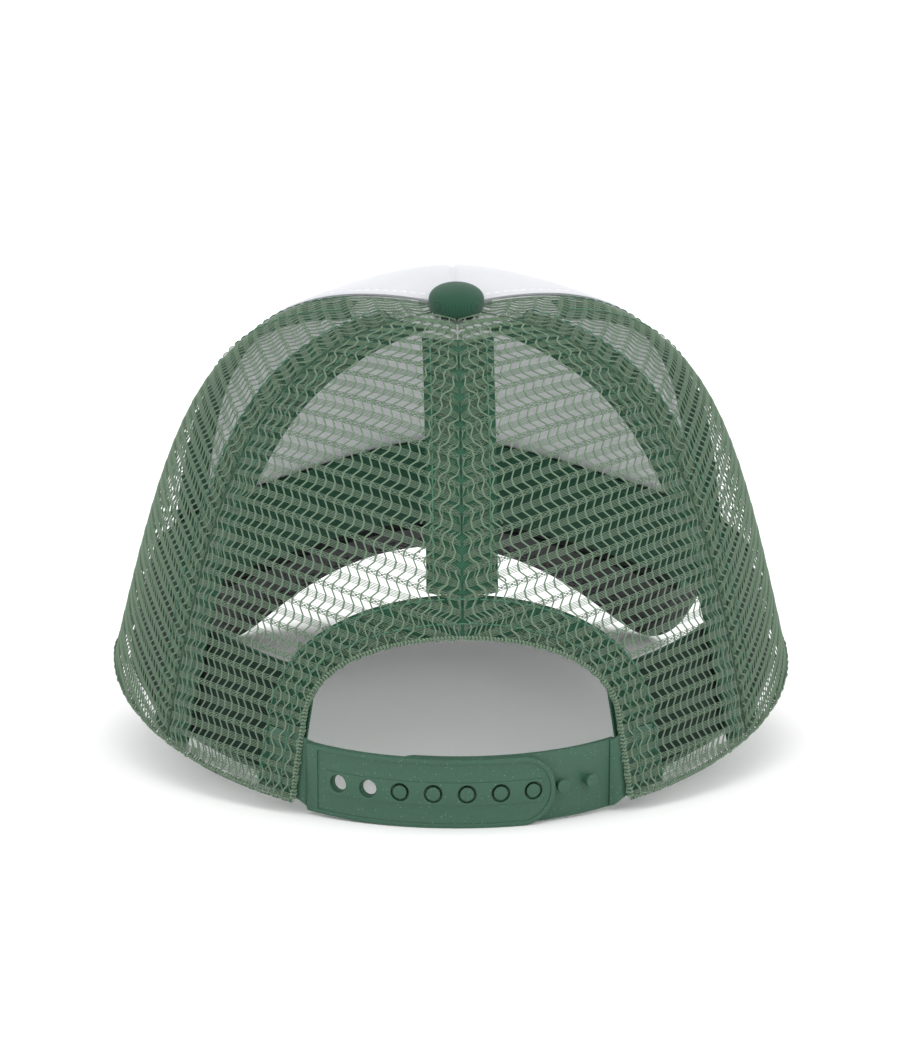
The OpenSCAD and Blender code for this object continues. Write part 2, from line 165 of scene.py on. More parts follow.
FRONT_SEAM, FRONT_SEAM_TURN = 57.0, 13.0     # azimuth at the hem and how far it moves on the way up
SIDE_SEAM, SIDE_SEAM_TURN = 127.0, -4.0
SEAM_TURN_END = 0.7


def bend(t):
    return np.sin(np.radians(90 * np.clip(np.asarray(t, float) / SEAM_TURN_END, 0, 1)))


def front_seam(t):
    """Azimuth of the seam between the front and the side mesh."""
    return FRONT_SEAM + FRONT_SEAM_TURN * bend(t)


def side_seam(t):
    """Azimuth of the seam between the side mesh and the back mesh."""
    return SIDE_SEAM + SIDE_SEAM_TURN * bend(t)


OPENING_HALF, OPENING_SIDE, OPENING_TOP = 42.5, 22.0, 43.5
OPENING_REACH = 80.0                         # about the outline's distance from the crown's axis
SIDE_SHARE = 0.3                             # the straight side's part of the outline's run
opening_edge = float(search(lambda p: OPENING_HALF - hem(p)[..., 0], 100.0, 180.0))
opening_span = 180 - opening_edge
ARCH_ROUND = 1.0


def arch_height(d, top):
    """Height of an arch top mm high, d from 0 at its middle to 1 at its foot."""
    return OPENING_SIDE + (top - OPENING_SIDE) * np.maximum(1 - d ** (2 / ARCH_ROUND), 0) ** (ARCH_ROUND / 2)


def opening_height(p):
    """Height of the rear opening's outline."""
    return arch_height(np.minimum((180 - np.asarray(p, float)) / opening_span, 1), OPENING_TOP)


def opening_outline(q, grow):
    """Azimuth and height of the outline, grow mm further out, q from 0 at the hem to 1 over the middle."""
    more = grow / OPENING_REACH * 180 / math.pi
    a = np.radians(90 * np.clip((q - SIDE_SHARE) / (1 - SIDE_SHARE), 0, 1))
    low = q < SIDE_SHARE
    p = np.where(low, opening_edge - more, 180 - (opening_span + more) * np.cos(a) ** ARCH_ROUND)
    on_arch = OPENING_SIDE + (OPENING_TOP - OPENING_SIDE + grow) * np.sin(a) ** ARCH_ROUND
    return p, np.where(low, OPENING_SIDE * q / SIDE_SHARE, on_arch)


# ---------------------------------------------------------------- modelling helpers

def deselect():
    if bpy.context.object and bpy.context.object.mode != "OBJECT":
        bpy.ops.object.mode_set(mode="OBJECT")
    bpy.ops.object.select_all(action="DESELECT")


def only(obj):
    deselect()
    obj.select_set(True)
    bpy.context.view_layer.objects.active = obj


def finish_mesh(obj, name, material, smooth=40):
    """Names a made piece, gives it its finish or finishes and smooths edges below smooth degrees."""
    obj.name = name
    obj.data.name = name
    obj.data.materials.clear()
    for m in (material if isinstance(material, list) else [material]):
        obj.data.materials.append(m)
    only(obj)
    bpy.ops.object.shade_smooth_by_angle(angle=math.radians(smooth))
    return obj


def apply_modifier(obj, kind, **settings):
    only(obj)
    m = obj.modifiers.new(kind.lower(), kind)
    for key, value in settings.items():
        setattr(m, key, value)
    bpy.ops.object.modifier_apply(modifier=m.name)


def grid_piece(name, cols, rows, place, outside, thick, size, material):
    """A cloth: place(u, v) gives its points, outside(u, v) its outer way; thickness and flat size in mm."""
    deselect()
    bpy.ops.mesh.primitive_grid_add(x_subdivisions=cols, y_subdivisions=rows, size=1, calc_uvs=True)
    obj = bpy.context.object
    mesh = obj.data
    flat = np.empty(len(mesh.vertices) * 3)
    mesh.vertices.foreach_get("co", flat)
    flat = flat.reshape(-1, 3)
    u, v = flat[:, 0] + 0.5, flat[:, 1] + 0.5
    mesh.vertices.foreach_set("co", place(u, v).ravel())
    mesh.update()
    normals = np.empty(len(mesh.vertices) * 3)
    mesh.vertices.foreach_get("normal", normals)
    if (normals.reshape(-1, 3) * outside(u, v)).sum() < 0:
        only(obj)
        bpy.ops.object.mode_set(mode="EDIT")
        bpy.ops.mesh.select_all(action="SELECT")
        bpy.ops.mesh.flip_normals()
        bpy.ops.object.mode_set(mode="OBJECT")
    uv = mesh.uv_layers[0]
    coords = np.empty(len(uv.data) * 2)
    uv.data.foreach_get("uv", coords)
    coords = coords.reshape(-1, 2) * np.array(size)
    uv.data.foreach_set("uv", coords.ravel())
    apply_modifier(obj, "SOLIDIFY", thickness=thick * MM, offset=-1, use_rim=True, use_even_offset=False)
    return finish_mesh(obj, name, material)


def mesh_piece(name, points, faces, material, slots=None):
    """One mesh object from many copies of a modelled shape; slots picks a finish for each face."""
    mesh = bpy.data.meshes.new(name)
    mesh.from_pydata(points.tolist(), [], faces)
    if slots is not None:
        mesh.polygons.foreach_set("material_index", slots)
    mesh.update()
    obj = bpy.data.objects.new(name, mesh)
    bpy.context.scene.collection.objects.link(obj)
    return finish_mesh(obj, name, material, 60)


def thread_bar(start, end, radius, sides):
    """A straight piece of thread between two points, in mm."""
    a, b = Vector(start), Vector(end)
    deselect()
    bpy.ops.mesh.primitive_cylinder_add(vertices=sides, radius=radius, depth=(b - a).length,
                                        end_fill_type="NGON",
                                        location=(a + b) / 2, rotation=(b - a).to_track_quat("Z",
                                                                                             "Y").to_euler())
    return bpy.context.object


def take_shape(parts):
    """Joins made parts and returns their points, faces and the part that each face came from."""
    points, faces, owner, base = [], [], [], 0
    for k, obj in enumerate(parts):
        bpy.context.view_layer.update()
        world = np.array(obj.matrix_world)
        co = np.array([v.co[:] for v in obj.data.vertices])
        points.append(co @ world[:3, :3].T + world[:3, 3])
        for f in obj.data.polygons:
            faces.append([base + i for i in f.vertices])
            owner.append(k)
        base += len(co)
    deselect()
    for obj in parts:
        obj.select_set(True)
    bpy.ops.object.delete()
    return np.vstack(points), faces, owner


def copies(points, faces, count):
    """Face lists for count copies of one shape."""
    step = len(points)
    return [[i + k * step for i in f] for k in range(count) for f in faces]


# ---------------------------------------------------------------- finishes

def srgb(r, g, b):
    """The linear colour of an 8-bit one."""
    return (*(c / 12.92 if c <= 0.04045 else ((c + 0.055) / 1.055) ** 2.4
              for c in (r / 255, g / 255, b / 255)), 1)


def new_finish(name, rough, sheen=0.0, specular=0.5):
    m = bpy.data.materials.new(name)
    m.use_nodes = True
    shader = m.node_tree.nodes["Principled BSDF"]
    shader.inputs["Roughness"].default_value = rough
    shader.inputs["Specular IOR Level"].default_value = specular
    if sheen:
        shader.inputs["Sheen Weight"].default_value = sheen
        shader.inputs["Sheen Roughness"].default_value = 0.5
    return m, m.node_tree, shader


def add(tree, kind, **inputs):
    """A shader node with its properties or sockets set."""
    node = tree.nodes.new(kind)
    for key, value in inputs.items():
        if key in node.bl_rna.properties and key not in node.inputs:
            setattr(node, key, value)
        else:
            node.inputs[key].default_value = value
    return node


def math_node(tree, operation, a, b=None):
    """The result of a sum on sockets or numbers."""
    node = tree.nodes.new("ShaderNodeMath")
    node.operation = operation
    for i, value in enumerate((a, b)):
        if value is None:
            continue
        if isinstance(value, (int, float)):
            node.inputs[i].default_value = value
        else:
            tree.links.new(value, node.inputs[i])
    return node.outputs[0]


def blend_colours(tree, factor, low, high):
    """A colour between low and high, as factor says."""
    ramp = tree.nodes.new("ShaderNodeValToRGB")
    ramp.color_ramp.elements[0].color = low
    ramp.color_ramp.elements[1].color = high
    tree.links.new(factor, ramp.inputs[0])
    return ramp.outputs[0]


def woven(name, low, high, pitch, kind="plain", rough=0.85, depth=0.12, sheen=0.15, patch=0.25):
    """Cloth woven with threads pitch mm apart, plain or twill, with soft uneven colour."""
    m, tree, shader = new_finish(name, rough, sheen, 0.25)
    place = tree.nodes.new("ShaderNodeTexCoord")
    parts = tree.nodes.new("ShaderNodeSeparateXYZ")
    tree.links.new(place.outputs["UV"], parts.inputs[0])
    per = 2 * math.pi / pitch
    x = math_node(tree, "MULTIPLY", parts.outputs[0], per)
    y = math_node(tree, "MULTIPLY", parts.outputs[1], per)
    if kind == "twill":
        rib = math_node(tree, "SINE", math_node(tree, "ADD", x, y))
        cross = math_node(tree, "SINE", math_node(tree, "SUBTRACT", x, y))
        height = math_node(tree, "ADD", math_node(tree, "MULTIPLY", rib, 0.38),
                           math_node(tree, "MULTIPLY", cross, 0.1))
    else:
        checks = math_node(tree, "MULTIPLY", math_node(tree, "SINE", x), math_node(tree, "SINE", y))
        height = math_node(tree, "MULTIPLY", checks, 0.45)
    height = math_node(tree, "ADD", height, 0.5)
    uneven = add(tree, "ShaderNodeTexNoise", Scale=55.0, Detail=4.0, Roughness=0.6)
    tree.links.new(place.outputs["Object"], uneven.inputs["Vector"])
    fuzz = add(tree, "ShaderNodeTexNoise", Scale=2600.0, Detail=2.0)
    tree.links.new(place.outputs["Object"], fuzz.inputs["Vector"])
    tone = math_node(tree, "ADD", math_node(tree, "MULTIPLY", height, 1 - patch),
                     math_node(tree, "MULTIPLY", uneven.outputs[0], patch))
    tree.links.new(blend_colours(tree, tone, low, high), shader.inputs["Base Color"])
    relief = math_node(tree, "ADD", height, math_node(tree, "MULTIPLY", fuzz.outputs[0], 0.5))
    bump = add(tree, "ShaderNodeBump", Strength=0.8, Distance=depth * MM)
    tree.links.new(relief, bump.inputs["Height"])
    tree.links.new(bump.outputs[0], shader.inputs["Normal"])
    return m


def grained(name, low, high, scale, rough=0.6, depth=0.05, specks=None, metallic=0.0, sheen=0.0,
            specular=0.5):
    """A finish with a fine grain at scale per metre and, if given, scattered pale specks."""
    m, tree, shader = new_finish(name, rough, sheen, specular)
    shader.inputs["Metallic"].default_value = metallic
    place = tree.nodes.new("ShaderNodeTexCoord")
    grain = add(tree, "ShaderNodeTexNoise", Scale=float(scale), Detail=5.0, Roughness=0.65)
    tree.links.new(place.outputs["Object"], grain.inputs["Vector"])
    colour = blend_colours(tree, grain.outputs[0], low, high)
    if specks:
        dots = add(tree, "ShaderNodeTexVoronoi", Scale=float(scale) * 0.55)
        tree.links.new(place.outputs["Object"], dots.inputs["Vector"])
        near = math_node(tree, "LESS_THAN", dots.outputs["Distance"], 0.13)
        mixed = tree.nodes.new("ShaderNodeMix")
        mixed.data_type = "RGBA"
        tree.links.new(near, mixed.inputs[0])
        tree.links.new(colour, mixed.inputs[6])
        mixed.inputs[7].default_value = specks
        colour = mixed.outputs[2]
    tree.links.new(colour, shader.inputs["Base Color"])
    bump = add(tree, "ShaderNodeBump", Strength=0.6, Distance=depth * MM)
    tree.links.new(grain.outputs[0], bump.inputs["Height"])
    tree.links.new(bump.outputs[0], shader.inputs["Normal"])
    return m


white_cloth = woven("white_front_cloth", srgb(190, 192, 197), srgb(224, 225, 229), 0.5, "plain", 0.8, 0.05,
                    0.1, 0.35)
foam_finish = grained("front_foam_grey", srgb(234, 236, 238), srgb(252, 252, 253), 900, 0.95, 0.25,
                      sheen=0.1, specular=0.1)
tape_green = woven("seam_tape_green", srgb(26, 62, 47), srgb(60, 110, 84), 0.75, "plain", 0.8, 0.12)
band_twill = woven("sweatband_twill", srgb(22, 62, 45), srgb(52, 106, 79), 0.9, "twill", 0.8, 0.14)
lining_cloth = woven("band_lining", srgb(16, 34, 26), srgb(34, 58, 46), 0.7, "plain", 0.9, 0.1)
visor_green = woven("visor_cloth_green", srgb(24, 66, 48), srgb(58, 118, 88), 0.6, "twill", 0.8, 0.1)
# painted shade: near-black colour for the visor's underside, standing in for the shadow under the visor
visor_under_painted_shade = woven("visor_cloth_black", srgb(16, 17, 17), srgb(44, 48, 47), 0.6, "twill", 0.85, 0.1)
button_knit = woven("button_knit", srgb(16, 48, 35), srgb(46, 92, 70), 0.5, "plain", 0.8, 0.12)
pillar_thread = grained("mesh_pillar_thread", srgb(78, 104, 84), srgb(122, 144, 120), 2400, 0.75, 0.06,
                        sheen=0.2, specular=0.3)
bar_thread = grained("mesh_bar_thread", srgb(168, 180, 158), srgb(214, 220, 200), 2400, 0.7, 0.05,
                     sheen=0.2, specular=0.35)
green_thread = grained("stitch_green", srgb(30, 82, 60), srgb(62, 122, 92), 3000, 0.6, 0.05, sheen=0.2)
white_thread = grained("stitch_white", srgb(220, 221, 223), srgb(250, 250, 250), 3000, 0.6, 0.05, sheen=0.1)
# painted shade: near-black thread for the stitches under the visor, standing in for its shadow
under_stitch_painted_shade = grained("stitch_painted_shade_dark", srgb(20, 20, 20), srgb(60, 62, 62), 3000, 0.6, 0.05)
strap_plastic = grained("strap_plastic", srgb(40, 75, 58), srgb(55, 94, 74), 1500, 0.48, 0.03,
                        specks=srgb(82, 120, 98), specular=0.45)
plated_metal = grained("plated_metal", srgb(170, 170, 172), srgb(205, 205, 208), 4000, 0.32, 0.01,
                       metallic=1.0)
board_plastic = grained("visor_board_plastic", srgb(26, 32, 29), srgb(40, 46, 43), 500, 0.6, 0.03)

# ---------------------------------------------------------------- knitted mesh

PITCH, REPEAT = 2.1, 6.8                     # from pillar to pillar and from one repeat to the next
HALF = PITCH / 2
LADDER = [2.66, 3.03, 3.4, 3.77, 4.14]       # the open ladder's bars
HATCH = [-0.6, -0.2, 0.2, 0.6]               # the closed band's bars
PILLAR_RADIUS, LADDER_RADIUS, HATCH_RADIUS, CROSS_RADIUS = 0.205, 0.105, 0.1, 0.095
BAR_LIFT = 0.12                              # how far the bars lie outside the pillars' middle
PATTERN_COLUMNS, PATTERN_HALF = 39, 74       # columns each side of the middle, and mm that they may reach
KNIT_DEPTH, TURNED_DEPTH, EDGE_DEPTH = -0.6, -1.38, -0.85
WHOLE_SHARE, TURNED_SHARE = 0.12, 0.55       # how much of a repeat must lie in its panel or turned edge


def knit_unit():
    """One repeat of the mesh: a zigzag pillar, a ladder of bars and a crossed band, in mm."""
    path = [(0, 0, 0), (0, 0.75, 0), (HALF, 2.5, 0), (HALF, 4.3, 0), (0, 6.05, 0), (0, REPEAT, 0)]
    parts = []
    deselect()
    bpy.ops.mesh.primitive_circle_add(vertices=6, radius=PILLAR_RADIUS, fill_type="NGON", location=path[0],
                                      rotation=(math.pi / 2, 0, 0))
    pillar = bpy.context.object
    bpy.ops.object.transform_apply(location=True, rotation=True, scale=True)
    bpy.ops.object.mode_set(mode="EDIT")
    bpy.ops.mesh.select_all(action="SELECT")
    for a, b in zip(path, path[1:]):
        bpy.ops.mesh.extrude_region_move(TRANSFORM_OT_translate={"value": [b[i] - a[i] for i in range(3)]})
    bpy.ops.mesh.select_all(action="SELECT")
    bpy.ops.mesh.normals_make_consistent(inside=False)
    bpy.ops.object.mode_set(mode="OBJECT")
    parts.append(pillar)
    for y in LADDER:
        parts.append(thread_bar((HALF, y, BAR_LIFT), (HALF + PITCH, y, BAR_LIFT), LADDER_RADIUS, 3))
    for y in HATCH:
        parts.append(thread_bar((0, y, BAR_LIFT), (PITCH, y, BAR_LIFT), HATCH_RADIUS, 3))
    parts.append(thread_bar((0, -0.7, 0.2), (PITCH, 0.7, 0.2), CROSS_RADIUS, 3))
    parts.append(thread_bar((0, 0.7, 0.02), (PITCH, -0.7, 0.02), CROSS_RADIUS, 3))
    points, faces, owner = take_shape(parts)
    return points, faces, [0 if k == 0 else 1 for k in owner]


unit_points, unit_faces, unit_slots = knit_unit()


class Panel:
    """A mesh panel between two seams, with its flat pattern laid along its middle."""

    def __init__(self, first, second, opening):
        self.first, self.second, self.opening = first, second, opening
        t = np.linspace(1, 0, 240)
        line = crown(self.middle(t), t)
        self.t = t
        self.s = np.concatenate([[0], np.cumsum(np.linalg.norm(np.diff(line, axis=0), axis=1))])
        self.top_p = np.linspace(50, 182, 60)
        self.top_t = t_at_reach(self.top_p, CLOTH_STOP)
        self.hole_p = np.linspace(opening_edge, 181, 80)
        self.hole_t = t_at_height(np.minimum(self.hole_p, 180), opening_height(self.hole_p))

    def middle(self, t):
        return (self.first(t) + self.second(t)) / 2

    def spot(self, x, y):
        """Azimuth and height share of a point of the flat pattern, x across and y from the button."""
        rho, turn = np.hypot(x, y), np.arctan2(x, y)
        t = np.interp(rho, self.s, self.t)
        t = np.where(rho > self.s[-1], -(rho - self.s[-1]) / self.s[-1], t)
        tc = np.clip(t, 0, 1)
        return self.middle(tc) + np.degrees(rho * turn / np.maximum(reach(self.middle(tc), tc), 2.0)), t

    def hold(self, p, t):
        """Keeps points inside the panel; also says which were inside and how far from a seam they lie."""
        tc = np.clip(t, 0, 0.999)
        gap = degrees_at(90, tc, 0.3)
        low, high = self.first(tc) + gap, self.second(tc) - gap
        inside = (p > low) & (p < high) & (t > 0)
        p = np.clip(p, low, high)
        top = np.interp(p, self.top_p, self.top_t)
        inside &= t < top
        t = np.clip(t, 0.0, top)
        if self.opening:
            edge_t = np.interp(p, self.hole_p, self.hole_t)
            hole = (p > opening_edge) & (t < edge_t)
            inside &= ~hole
            # the opening's straight side moves threads sideways, its arch moves them up
            z = crown(p, t)[..., 2]
            low_down = hole & (z < OPENING_SIDE - 1) & (p < opening_edge + 6)
            p = np.where(low_down, opening_edge - 0.05, p)
            t = np.where(hole & ~low_down, edge_t, t)
        return p, t, inside, width_at(p, t, np.minimum(p - low, high - p))


side_panel = Panel(front_seam, side_seam, False)
back_panel = Panel(side_seam, lambda t: 180 + 0 * np.asarray(t), True)


def knit(name, panel, left, depth, keep=None, lean=0.0, offset=(0.0, 0.0), swell=1.0):
    """Lays knit repeats over a panel, depth mm from its surface; keep(p, t, z) limits a second layer."""
    rows = int(panel.s[-1] / REPEAT) + 4
    cells = [(i, j) for i in range(-PATTERN_COLUMNS, PATTERN_COLUMNS + 1) for j in range(rows)]
    cx = np.array([c[0] for c in cells]) * PITCH + offset[0]
    cy = np.array([c[1] for c in cells]) * REPEAT + offset[1]
    x = cx[:, None] + unit_points[None, :, 0]
    y = cy[:, None] + unit_points[None, :, 1]
    h = np.broadcast_to(unit_points[None, :, 2], x.shape)
    if lean:
        c, s = math.cos(lean), math.sin(lean)
        mid = panel.s[-1] / 2
        x, y = c * x + s * (y - mid), -s * x + c * (y - mid) + mid
    near = (np.abs(x).max(1) < PATTERN_HALF) & (y.min(1) > 2)
    x, y, h = x[near], y[near], h[near]
    p, t = panel.spot(x, y)
    held_p, held_t, inside, side = panel.hold(p, t)
    use = inside.mean(1) > WHOLE_SHARE
    if keep is not None:
        z = crown(held_p, held_t)[..., 2]
        use &= keep(held_p, held_t, z).mean(1) > TURNED_SHARE
    held_p, held_t, h, side = held_p[use], held_t[use], h[use], side[use]
    seam_dip = -0.55 * np.exp(-(side / 1.3) ** 2)
    points = layer(held_p, held_t, depth + h * swell + seam_dip)
    if left:
        points = mirrored(points)
    count = len(points)
    faces = copies(unit_points, [f[::-1] for f in unit_faces] if left else unit_faces, count)
    return mesh_piece(name, points.reshape(-1, 3), faces, [pillar_thread, bar_thread], unit_slots * count)


def outline_run(points, step):
    """Evenly spaced places along a line, and each of its points' place, in metres from its start."""
    gaps = np.linalg.norm(np.diff(points, axis=0), axis=1)
    s = np.concatenate([[0], np.cumsum(gaps)])
    count = max(int(s[-1] / step), 1)
    at = (np.arange(count) + 0.5) * s[-1] / count
    return at, s


def along(points, s, at):
    """Values between a line's points, at the places at; s gives each point's own place."""
    return np.stack([np.interp(at, s, points[:, k]) for k in range(3)], -1)


def stitch_shape():
    """One stitch: a short thread that dips at both ends; 1 long, about 1 thick."""
    deselect()
    bpy.ops.mesh.primitive_uv_sphere_add(segments=6, ring_count=5, radius=1, rotation=(0, math.pi / 2, 0))
    return take_shape([bpy.context.object])


stitch_points, stitch_faces, _ = stitch_shape()


def stitches(name, points, normals, material, pitch=3.0, share=0.84, radius=0.2, sink=0.25):
    """Stitches along a line that lies on cloth, share of the pitch long; their ends dip sink mm. All in mm."""
    at, s = outline_run(points, pitch * MM)
    here, ahead = along(points, s, at), along(points, s, np.minimum(at + 0.1 * MM, s[-1]))
    behind = along(points, s, np.maximum(at - 0.1 * MM, 0))
    lengthwise = ahead - behind
    lengthwise /= np.linalg.norm(lengthwise, axis=1, keepdims=True)
    up = along(normals, s, at)
    sideways = np.cross(up, lengthwise)
    sideways /= np.linalg.norm(sideways, axis=1, keepdims=True)
    up = np.cross(lengthwise, sideways)
    half = pitch * share / 2
    x = stitch_points[:, 0] * half * MM
    y = stitch_points[:, 1] * radius * MM
    z = (stitch_points[:, 2] * radius - sink * stitch_points[:, 0] ** 4) * MM
    out = (here[:, None] + x[None, :, None] * lengthwise[:, None] + y[None, :, None] * sideways[:, None]
           + z[None, :, None] * up[:, None])
    return mesh_piece(name, out.reshape(-1, 3), copies(stitch_points, stitch_faces, len(here)), material)


def mirrored(a):
    """The same on the wearer's left side."""
    return a * np.array([-1, 1, 1])


def crown_line(p, t, d, left=False):
    """Points and outward directions of a line on the crown."""
    points, normals = layer(p, t, np.full(np.shape(p), float(d))), turned(crown_normal(p, t))
    return (mirrored(points), mirrored(normals)) if left else (points, normals)


SIDES = (("left", True), ("right", False))
mesh_pieces = {}
for side_name, left in SIDES:
    for panel, place_name, area, flat in ((side_panel, "side", 0.00971, (0.092, 0.158)),
                                          (back_panel, "back", 0.00708, (0.078, 0.152))):
        piece = knit(f"{side_name}_{place_name}_knit", panel, left, KNIT_DEPTH)
        mesh_pieces[side_name, place_name] = (piece, area, flat)

# second layers: turned-in cloth along the hem, the seams and the rear opening, widths in mm
HEM_TURN, SEAM_TURN, OPENING_TURN = 8.0, 6.6, 8.6
SEAM_TURN_STOP, FRONT_TURN_STOP = 0.94, 0.8


def turned_in(p, t, z):
    seam = (width_at(p, t, np.abs(p - side_seam(t))) < SEAM_TURN) & (t < SEAM_TURN_STOP)
    return (z < HEM_TURN) | seam


def turned_in_side(p, t, z):
    front = width_at(p, t, p - front_seam(t)) < SEAM_TURN
    return turned_in(p, t, z) | (front & (t < FRONT_TURN_STOP))


def turned_in_back(p, t, z):
    middle = width_at(p, t, 180 - p) < SEAM_TURN
    across = (opening_edge - p) * OPENING_REACH * math.pi / 180
    d = np.minimum(np.maximum(180 - p, 0) / (opening_span + OPENING_TURN / OPENING_REACH * 180 / math.pi), 1)
    under_arch = (z < arch_height(d, OPENING_TOP + OPENING_TURN)) & (across < OPENING_TURN)
    beside = (z < OPENING_SIDE) & (across < OPENING_TURN) & (across > -1)
    return turned_in(p, t, z) | (middle & (t < SEAM_TURN_STOP)) | under_arch | beside


folds = {}
for side_name, left in SIDES:
    folds[side_name, "side"] = knit(f"{side_name}_side_turned_edge", side_panel, left, TURNED_DEPTH,
                                    turned_in_side, 0.12, (0.9, 2.3), 0.6)
    folds[side_name, "back"] = knit(f"{side_name}_back_turned_edge", back_panel, left, TURNED_DEPTH,
                                    turned_in_back, -0.12, (0.6, 3.1), 0.6)


def edge_loop_shape():
    """One thread loop round a folded edge: half a ring in the plane across the edge, 1 in radius."""
    steps = 5
    parts = []
    for k in range(steps):
        a, b = math.radians(-95 + 190 * k / steps), math.radians(-95 + 190 * (k + 1) / steps)
        parts.append(thread_bar((0.35 * (k % 2) - 0.2, math.cos(a), math.sin(a)),
                                (0.35 * ((k + 1) % 2) - 0.2, math.cos(b), math.sin(b)), 0.24, 4))
    return take_shape(parts)


loop_points, loop_faces, _ = edge_loop_shape()


def folded_edge(name, points, normals, outward, pitch=0.95, radius=0.8):
    """Thread loops that wrap an edge; outward points away from the cloth, in its plane."""
    at, s = outline_run(points, pitch * MM)
    here = along(points, s, at)
    up = along(normals, s, at)
    away = along(outward, s, at)
    away /= np.linalg.norm(away, axis=1, keepdims=True)
    lengthwise = np.cross(away, up)
    rng = np.random.default_rng(11)
    size = radius * (1 + rng.normal(0, 0.09, len(here)) + 0.12 * np.sin(at / (PITCH * MM) * math.pi))
    x, y, z = loop_points.T
    out = (here[:, None] + (x[None] * 1.2 * MM)[..., None] * lengthwise[:, None]
           + (y[None] * size[:, None] * MM)[..., None] * away[:, None]
           + (z[None] * size[:, None] * 0.95 * MM)[..., None] * up[:, None])
    faces = copies(loop_points, loop_faces, len(here))
    every_third_pale = [int(k % 3 == 0) for k in range(len(here)) for _ in loop_faces]
    return mesh_piece(name, out.reshape(-1, 3), faces, [pillar_thread, bar_thread], every_third_pale)


def cloth_edge(p, t, d, left, direction):
    """An edge of the crown's cloth with the in-plane direction that leads off it."""
    points, normals = crown_line(p, t, d, left)
    tangent = np.gradient(points, axis=0)
    outward = np.cross(normals, tangent)
    outward /= np.linalg.norm(outward, axis=1, keepdims=True)
    if (outward * direction).sum() < 0:
        outward = -outward
    return points, normals, outward


DOWN = np.array([0, 0, -1])
for side_name, left in SIDES:
    for place_name, p in (("side", np.linspace(FRONT_SEAM + 0.3, SIDE_SEAM - 0.2, 200)),
                          ("back", np.linspace(SIDE_SEAM + 0.2, opening_edge - 0.4, 120))):
        folds[side_name, f"{place_name}_hem"] = folded_edge(
            f"{side_name}_{place_name}_hem_edge", *cloth_edge(p, 0 * p + 0.004, EDGE_DEPTH, left, DOWN))
    q = np.linspace(0.01, 0.998, 240)
    p, z = opening_outline(q, 0.4)
    edge_points, edge_normals = crown_line(p, t_at_height(p, z), EDGE_DEPTH, left)
    tangent = np.gradient(edge_points, axis=0)
    edge_out = np.cross(edge_normals, tangent)
    in_the_opening = layer(np.array([180.0]), np.array([0.08]), np.array([0.0]))[0]
    if (edge_out * (in_the_opening - edge_points)).sum() < 0:
        edge_out = -edge_out
    folds[side_name, "arch"] = folded_edge(f"{side_name}_opening_edge", edge_points, edge_normals, edge_out,
                                           0.9, 0.85)

# ---------------------------------------------------------------- tapes, binding and band

TAPE_DEPTH, TAPE_SEEN, TAPE_STITCH = -1.62, 14.3, 5.6
FRONT_TAPE_ASIDE = 8.25                      # from the front seam to the middle of its tape
BINDING_DEPTH, BINDING_INNER, BINDING_WIDTH = -1.85, 0.4, 9.3
soft = []                                    # cloth, its flat size and cut area in metres
extra = []                                   # stitch rows and folds, with the cloth each belongs to


def tape(name, centre, foot, stop, length, left, node):
    """A seam tape from foot mm above the hem plane to stop mm from the button's middle, with its stitches."""
    low = float(t_at_height(centre(0.0), foot))
    high = float(t_at_reach(np.array(centre(0.9)), stop))

    def spot(u, v):
        t = low + (high - low) * v
        c = centre(t)
        return c + degrees_at(c, t, TAPE_SEEN) * (u - 0.5), t

    def place(u, v):
        ripple = 0.05 * np.sin(v * length * 1.1) * np.cos(u * math.pi)
        points = layer(*spot(u, v), TAPE_DEPTH + ripple)
        return mirrored(points) if left else points

    def outside(u, v):
        n = turned(crown_normal(*spot(u, v)))
        return mirrored(n) if left else n
    obj = grid_piece(name, 14, 90, place, outside, 0.75, (14.5, length), tape_green)
    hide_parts(node)
    soft.append((obj, (0.0145, length * MM), None))
    for k, off in enumerate((-TAPE_STITCH, TAPE_STITCH)):
        t = np.linspace(low + 0.01, high - 0.01, 120)
        c = centre(t)
        points, normals = crown_line(c + degrees_at(c, t, off), t, -0.1, left)
        piece = stitches(f"{name}_stitches_{k + 1}", points, normals, green_thread, 3.0, 0.86, 0.2, 0.3)
        extra.append((piece, obj))


for side_name, left in SIDES:
    tape(f"{side_name}_front_seam_tape", lambda t: front_seam(t) + degrees_at(70, t, FRONT_TAPE_ASIDE),
         1.0, 28.0, 113.0, left, f"{side_name}_front_tape")
    tape(f"{side_name}_side_seam_tape", side_seam, 1.0, 15.0, 147.0, left, f"{side_name}_side_tape")
tape("back_seam_tape", lambda t: 180 + 0 * np.asarray(t, float), 53.2, 15.0, 81.0, False, "back_tape")


def binding():
    """The band that edges the rear opening, with its two rows of stitches."""
    def outline(v, grow):
        p, z = opening_outline(1 - np.abs(2 * v - 1) * 0.98, grow)
        return np.where(v < 0.5, p, 360 - p), t_at_height(p, z)

    def place(u, v):
        p, t = outline(v, BINDING_INNER + BINDING_WIDTH * u)
        return layer(p, t, np.full(p.shape, BINDING_DEPTH))

    def outside(u, v):
        return turned(crown_normal(*outline(v, BINDING_INNER + BINDING_WIDTH * u)))
    obj = grid_piece("opening_band", 10, 160, place, outside, 0.75, (9.5, 176), tape_green)
    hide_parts("opening_binding")
    soft.append((obj, (0.0102, 0.176), None))
    for k, grow in enumerate((3.2, 8.6)):
        points, normals = crown_line(*outline(np.linspace(0.01, 0.99, 260), grow), -0.05)
        piece = stitches(f"opening_stitches_{k + 1}", points, normals, green_thread, 2.7, 0.88, 0.2, 0.3)
        extra.append((piece, obj))


